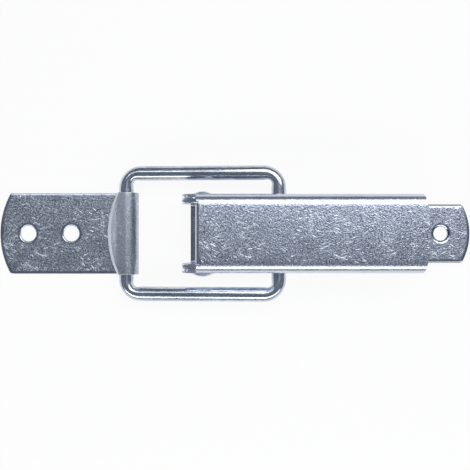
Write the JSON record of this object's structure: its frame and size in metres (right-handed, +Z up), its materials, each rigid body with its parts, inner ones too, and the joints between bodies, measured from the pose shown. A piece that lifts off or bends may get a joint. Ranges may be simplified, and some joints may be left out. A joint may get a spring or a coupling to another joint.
{
  "type": "over centre toggle latch",
  "caption": "Plated steel toggle latch: a channel lever on a riveted base plate draws a wire bail against a hooked catch plate and locks past centre.",
  "frame": {"origin": "under the middle of the closed latch, on the faces that are screwed down", "axes": "+X from the catch plate to the lever's free end, +Y across the latch, +Z up from the mounting faces"},
  "size_m": [0.164, 0.0464, 0.0178],
  "materials": {
    "zinc_sheet": "bright zinc plate, finely mottled, with punched edges",
    "zinc_lever": "bright zinc plate, mottled and lightly scratched by handling",
    "zinc_wire": "bright zinc plate on smooth drawn wire",
    "zinc_rivet": "bright zinc plate"
  },
  "bodies": {
    "base": {"base_plate": "zinc_sheet", "pivot_rivet": "zinc_rivet"},
    "lever": {"lever": "zinc_lever"},
    "bail": {"bail": "zinc_wire"},
    "catch": {"catch_plate": "zinc_sheet"}
  },
  "joints": [
    {"name": "lever_swing", "type": "hinge", "parent": "base", "child": "lever", "pos_m": [-0.011, 0, 0.008], "axis": [0, -1, 0], "range_deg": [0, 130]},
    {"name": "bail_swing", "type": "hinge", "parent": "lever", "child": "bail", "pos_m": [0.0149, 0, 0.0075], "axis": [0, -1, 0], "range_deg": [-107, 0]},
    {"name": "catch_swing", "type": "hinge", "parent": "bail", "child": "catch", "pos_m": [-0.0375, 0, 0.00425], "axis": [0, -1, 0], "range_deg": [-24, 0]}
  ],
  "couplings": [
    {"joint": "bail_swing", "follows": "lever_swing", "ratio": -0.81888},
    {"joint": "catch_swing", "follows": "lever_swing", "ratio": -0.18112}
  ]
}
